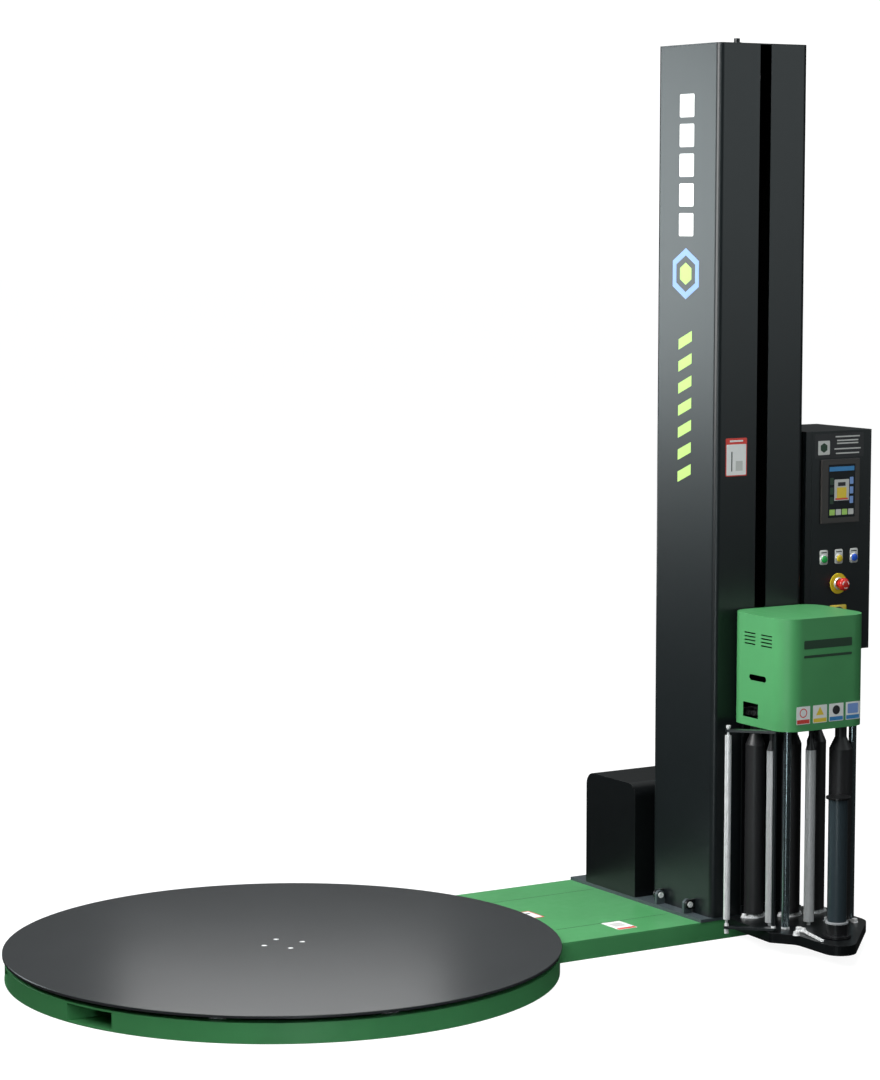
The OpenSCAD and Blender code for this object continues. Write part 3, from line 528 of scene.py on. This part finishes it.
def push_buttons():
    """Domed caps in bright rings, each over a pale legend plate."""
    plates = []
    for _, x in BUTTONS:
        plates.append(tile(x, 1163, 31, 46, SUNK, 1.6, pale_film, 6, 0.5))
        plates.append(tile(x, 1178, 22, 3, 1.5, 1.8, ink_film, 0))
        plates.append(turned([(11.2, 1.2), (14.6, 1.2), (15, 1.8), (15, 3.2), (14, 4.6),
                              (12.2, 5), (11.2, 4.4), (11.2, 1.2)], collar_metal, (x, BUTTON_Z)))
    plates.append(turned([(0, -0.1), (32.5, -0.1), (32.5, 2), (31.5, 3), (0, 3)],
                         yellow_plastic, STOP, 64))
    plates.append(turned([(16, 2.8), (19, 2.8), (19.4, 4), (17, 7.6), (16, 7.6), (16, 2.8)],
                         collar_metal, STOP))
    plates.append(tile(*SWITCH, 65, 65, SUNK, 2.4, yellow_plastic, 4, 0.6))
    plates.append(turned([(0, 2.2), (27, 2.2), (27, 3.4), (26.2, 4.2), (0, 4.2)],
                         ink_film, SWITCH))
    assembled("control_collars", plates, "front", (0, DOOR, 0), "cabinet_door",
              ["button_collars"])
    for (name, x), look in zip(BUTTONS, (green_plastic, yellow_plastic, blue_plastic)):
        cap = turned([(0, -12), (8, -12), (8, 0.5), (10.9, 0.8), (10.9, 6.4), (10.2, 7.6), (8.6, 8.3),
                      (5, 8.7), (0, 8.8)], look, (x, BUTTON_Z))
        assembled(name + "_cap", [cap], "front", (0, DOOR, 0), name + "_button",
                  [name + "_button"])


def stop_and_switch():
    """The red mushroom head with its turning arrows, and the red switch handle."""
    head = turned([(0, -12), (11, -12), (11, 22), (18, 23), (20, 25), (20, 29), (19.2, 33),
                   (16.5, 36.4),
                   (11, 38.4), (5, 38.9), (0, 39)], red_plastic, STOP, 64)
    arrows = []
    for start in (0, 120, 240):
        band = arc_points(*STOP, 12.6, start, start + 60, 6)
        back = arc_points(*STOP, 10.2, start + 60, start, 6)
        arrows.append(cut_out(band + back, 37.6, 38.75, white_film))
    assembled("stop_head", [head] + arrows, "front", (0, DOOR, 0), "emergency_stop",
              ["emergency_stop"])
    hub = turned([(0, -13), (6, -13), (6, 4.4), (21, 4.4), (21, 9), (20, 12), (0, 12)], red_plastic,
                 SWITCH)
    grip = tile(*SWITCH, 11, 42, 11.8, 22, red_plastic, 4, 1.2)
    mark = tile(SWITCH[0], SWITCH[1] + 13, 2.4, 12, 21.9, 22.1, white_film, 0)
    assembled("switch_handle", [hub, grip, mark], "front", (0, DOOR, 0), "main_switch",
              ["main_switch"])


# ---- film carriage ----


def cover_notices():
    """Four plain notices along the cover's lower edge and a dark mark above."""
    rows = ((1414.5, 51, red_film), (1477.5, 53, yellow_film), (1539.5, 55, blue_film),
            (1603, 54, blue_film))
    for i, (u, w, look) in enumerate(rows):
        shapes = [film(u, 734, w, 54, white_film, 2),
                  film(u, 715, w - 4, 12, look, 1, layer=1)]
        if i == 0:
            shapes.append(turned([(11, DECAL), (14, DECAL), (14, DECAL + 0.2), (11, DECAL + 0.2),
                                  (11, DECAL)], red_film, (u, 741)))
        elif i == 1:
            shapes.append(cut_out(ngon(u, 739, 17, 3), DECAL - 0.1, DECAL + 0.2, yellow_film))
        elif i == 2:
            shapes.append(turned([(0, DECAL - 0.1), (14, DECAL - 0.1), (14, DECAL + 0.2),
                                  (0, DECAL + 0.2)], ink_film, (u, 741)))
        else:
            shapes.append(tile(u, 741, 40, 30, DECAL - 0.1, DECAL + 0.2, sky_film, 3))
        assembled("cover_notice_" + str(i + 1), shapes, "front", (0, COVER_FRONT, 0), "carriage")
    mark = [film(1505.5, 946, 182, 26, dark_green_film, 4),
            film(1505.5, 910, 182, 8, dark_green_film, 3)]
    assembled("cover_mark", mark, "front", (0, COVER_FRONT, 0), "carriage")


def flange_bearings():
    """Oval flange bearings under the four large rollers, each with two bolts."""
    for name, x, y, turn in BEARINGS:
        c, s = math.cos(math.radians(turn)), math.sin(math.radians(turn))
        outline = (arc_points(x + 32 * c, y + 32 * s, 10, turn - 60, turn + 60, 8)
                   + arc_points(x, y, 26, turn + 65, turn + 115, 8)
                   + arc_points(x - 32 * c, y - 32 * s, 10, turn + 120, turn + 240, 8)
                   + arc_points(x, y, 26, turn + 245, turn + 295, 8))
        shapes = [cut_out(outline, BASE_TOP, BASE_TOP + 5, zinc_plate),
                  turned([(9, 74), (22, 74), (22, 78.6), (20.5, 80.2), (15, 80.8), (12.5, 82.4),
                          (9, 82.4), (9, 74)], zinc_plate, (x, y)),
                  turned([(0, 79), (3, 79), (3, 84), (2, 86), (0, 86)], machine_steel,
                         (x + 19 * c - 8 * s, y + 19 * s + 8 * c), 16)]
        for side in (-1, 1):
            shapes += bolt(x + side * 32 * c, y + side * 32 * s, BASE_TOP + 5, 13, 7)
        finished(united(shapes), "bearing_" + name, "carriage")


def carriage_bolts():
    """Nuts on the posts and the large bolts on the base plate."""
    shapes = []
    for x, y in POSTS:
        shapes += bolt(x, y, TOP_PLATE, across=19, height=10, washer=13)
        shapes += bolt(x, y, BASE_TOP - 0.1, across=24, height=7)
    for x, y in PLATE_BOLTS:
        shapes += bolt(x, y, BASE_TOP, across=17, height=10, washer=11)
    finished(united(shapes), "carriage_bolts", "carriage", ["carriage_nuts"])


def dancer_bolts():
    """Cap bolts at the ends of the dancer arms."""
    shapes = []
    low_arm_top = 80
    for place, z, height in ((DANCER_END, low_arm_top, 7), (DANCER_PIVOT, low_arm_top, 7),
                             (DANCER_PIVOT, 684, 5), (DANCER_END, 57, 8)):
        shapes += bolt(*place, z, across=13, height=height)
    finished(united(shapes), "dancer_bolts", "dancer_arm")


def service_panel():
    """A screwed service panel and a blank rating plate on the back of the mast."""
    shapes = [tile(-1468, 700, 220, 340, SUNK, 1.6, mast_paint, 10, 0.6)]
    for u in (-1566, -1370):
        for v in (548, 700, 852):
            shapes.append(screw_head(u, v, 1.5, 5))
    assembled("service_panel", shapes, "back", (0, MAST_BACK, 0), "mast")
    shapes = [tile(-1468, 1250, 90, 60, SUNK, 0.8, zinc_plate, 4, 0.2)]
    for u in (-1507, -1429):
        for v in (1226, 1274):
            shapes.append(screw_head(u, v, 0.7, 2))
    assembled("rating_plate", shapes, "back", (0, MAST_BACK, 0), "mast")


def cable_glands():
    """Three glands under the control cabinet, their nuts against its floor."""
    shapes = []
    for x in (1712, 1778, 1844):
        shapes.append(cut_out(ngon(x, -190, 14, 6, 0), CABINET_FLOOR - 5.5, CABINET_FLOOR + 0.1,
                              roller_rubber))
        neck = [(0, -18), (7, -18), (9.5, -16), (11, -12), (11, -5.4), (0, -5.4)]
        shapes.append(turned([(r, CABINET_FLOOR + z) for r, z in neck], roller_rubber, (x, -190), 32))
    finished(united(shapes), "cable_glands", "mast")


deck_notices()
deck_seams()
mast_marks()
mast_notice()
cabinet_plate()
touch_screen()
push_buttons()
stop_and_switch()
cover_notices()
flange_bearings()
carriage_bolts()
dancer_bolts()
service_panel()
cable_glands()

# ---- studio ----

bpy.ops.object.select_all(action="DESELECT")
bpy.ops.mesh.primitive_plane_add(size=200, location=(0, 0, 0))
floor = bpy.context.object
floor.name = "floor"
floor_paper = printed("floor_paper", (0.25, 0.25, 0.25), 0.9)
floor_paper.shader.inputs["Specular IOR Level"].default_value = 0
floor_paper.shader.inputs["Emission Color"].default_value = (1, 1, 1, 1)
floor_paper.shader.inputs["Emission Strength"].default_value = 0.92
dressed(floor, floor_paper.material)

bpy.ops.object.select_all(action="DESELECT")
bpy.ops.mesh.primitive_uv_sphere_add(segments=64, ring_count=32, radius=90, location=(0, 0, 0))
backdrop = bpy.context.object
backdrop.name = "backdrop"
backdrop_paper = printed("backdrop_paper", (1, 1, 1), 1)
backdrop_paper.shader.inputs["Emission Color"].default_value = (1, 1, 1, 1)
backdrop_paper.shader.inputs["Emission Strength"].default_value = 1
dressed(backdrop, backdrop_paper.material)
for screen in (floor, backdrop):
    screen.visible_diffuse = False
    screen.visible_glossy = False
    screen.visible_shadow = False

world = bpy.data.worlds.new("studio")
bpy.context.scene.world = world
world.use_nodes = True
sky = world.node_tree.nodes["Background"]
heading = world.node_tree.nodes.new("ShaderNodeTexCoord")
height = world.node_tree.nodes.new("ShaderNodeSeparateXYZ")
level = world.node_tree.nodes.new("ShaderNodeMapRange")
world.node_tree.links.new(heading.outputs["Generated"], height.inputs["Vector"])
world.node_tree.links.new(height.outputs["Z"], level.inputs["Value"])
world.node_tree.links.new(level.outputs["Result"], sky.inputs["Strength"])
level.inputs["From Min"].default_value = 0.1
level.inputs["From Max"].default_value = 0.8
level.inputs["To Min"].default_value = 0.02
level.inputs["To Max"].default_value = 0.45
sky.inputs["Color"].default_value = (0.95, 1, 1, 1)


def soft_box(name, place, aim, width, height, power, tint=(1, 1, 1)):
    """A large soft light, turned towards a point."""
    bpy.ops.object.light_add(type="AREA", location=place)
    lamp = bpy.context.object
    lamp.name = name
    lamp.data.shape = "RECTANGLE"
    lamp.data.size = width
    lamp.data.size_y = height
    lamp.data.energy = power
    lamp.data.color = tint
    lamp.rotation_euler = (Vector(aim) - Vector(place)).to_track_quat("-Z", "Y").to_euler()
    lamp.visible_camera = False


COOL = (0.88, 0.98, 1.0)
soft_box("key", (-4.4, -0.6, 4.4), (0.9, 0, 0.6), 2, 2, 110)
soft_box("overhead", (0.6, -0.8, 6.0), (1.3, -0.4, 0.2), 2.5, 2.5, 200)
soft_box("edge_light", (-1.0, -0.5, 2.3), (1.3, -0.4, 2.1), 1.6, 1.8, 70)
soft_box("mast_glow", (-2.3, 4.9, 2.3), (1.3, -0.2, 2.1), 1.5, 2.2, 90, COOL)
soft_box("table_glow", (1.0, 1.85, 1.05), (-0.3, -0.5, 0.08), 1.2, 0.4, 3)
soft_box("front_glow", (6.5, -7.5, 3.6), (1.5, -0.4, 1.6), 4, 5, 88, COOL)
soft_box("front_fill", (-3.5, -7.5, 5.5), (0.8, -0.3, 0.6), 3, 3, 10)
soft_box("post_light", (-1.0, -2.6, 1.6), (1.4, -0.5, 1.4), 0.4, 3.8, 26, COOL)

bpy.ops.object.camera_add(location=(-4.2647, -7.8811, 2.2427),
                          rotation=(math.radians(90 - 6.133), 0, math.radians(-31.386)))
camera = bpy.context.object
camera.data.lens = 102.8
camera.data.sensor_width = 36
camera.data.clip_end = 200
bpy.context.scene.camera = camera
bpy.context.scene.view_settings.view_transform = "Standard"
